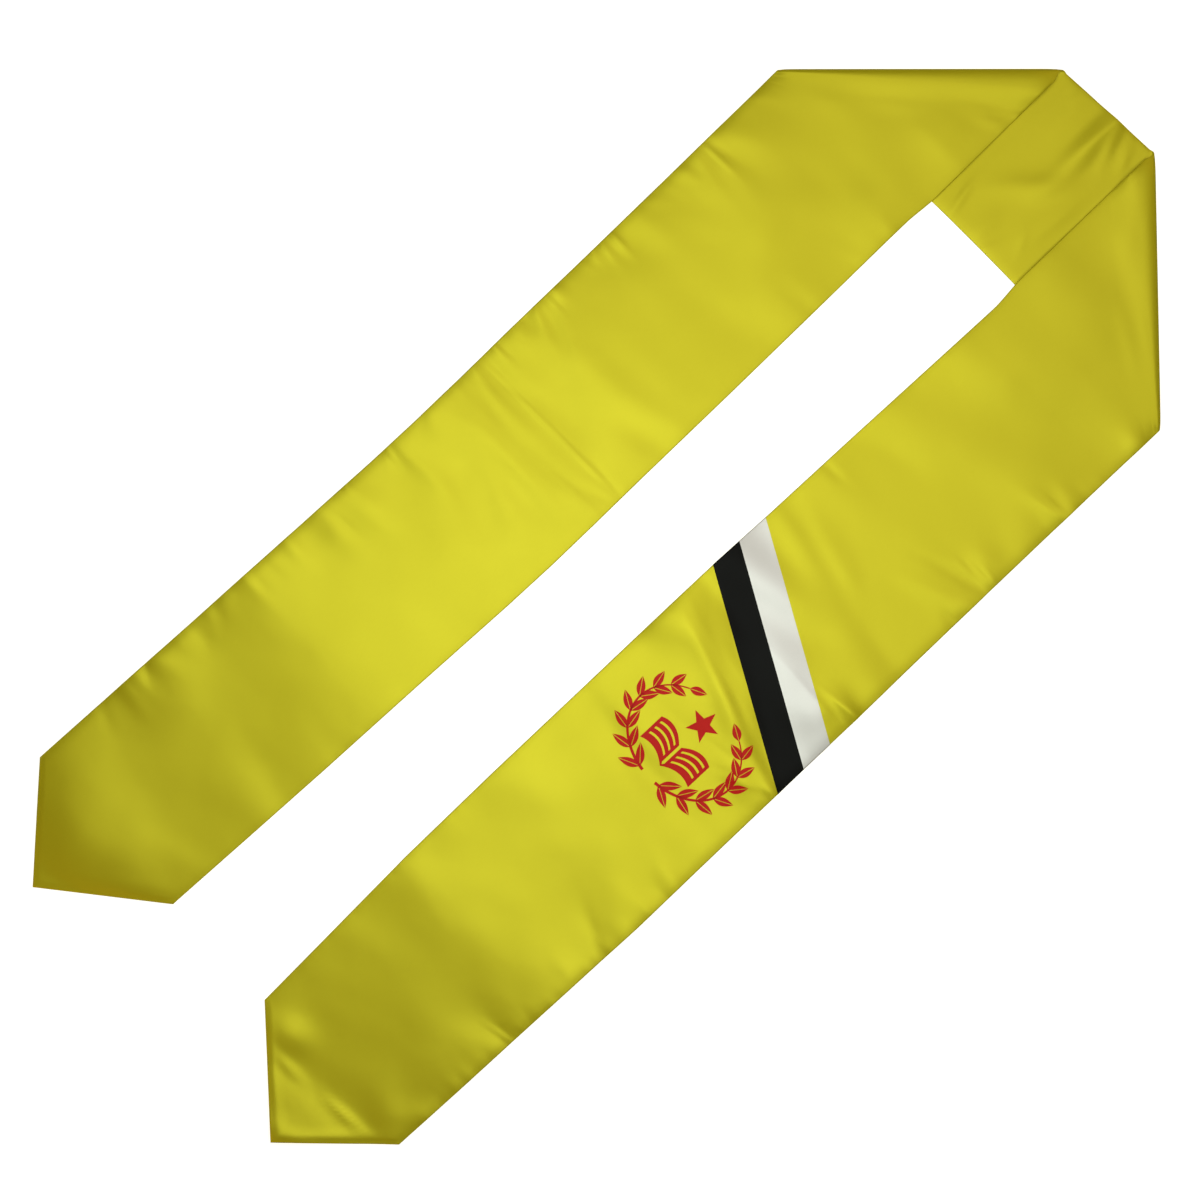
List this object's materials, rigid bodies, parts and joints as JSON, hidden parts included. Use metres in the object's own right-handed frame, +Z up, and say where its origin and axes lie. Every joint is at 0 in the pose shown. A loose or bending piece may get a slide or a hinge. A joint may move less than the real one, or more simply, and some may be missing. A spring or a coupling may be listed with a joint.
{
  "type": "graduation stole",
  "caption": "Long pointed sash of doubled satin for academic dress, laid flat with both legs folded forward at the neck, with slanting stripes and a printed emblem on one leg.",
  "frame": {"origin": "the floor point below the middle of the box round the stole as it lies flat", "axes": "+Z up off the floor, +Y along the legs towards the neck, +X towards the printed leg"},
  "size_m": [0.3516, 0.8658, 0.0103],
  "materials": {
    "yellow_satin": "bright yellow polyester satin with a soft sheen",
    "black_print": "black dye on satin",
    "white_print": "white dye on satin",
    "red_print": "red dye on satin"
  },
  "bodies": {
    "root": {"front_panel": "yellow_satin", "back_panel": "yellow_satin", "black_stripe": "black_print", "white_stripe": "white_print", "emblem_spray_left": "red_print", "emblem_spray_right": "red_print", "emblem_star": "red_print", "emblem_book": "red_print"}
  },
  "joints": []
}
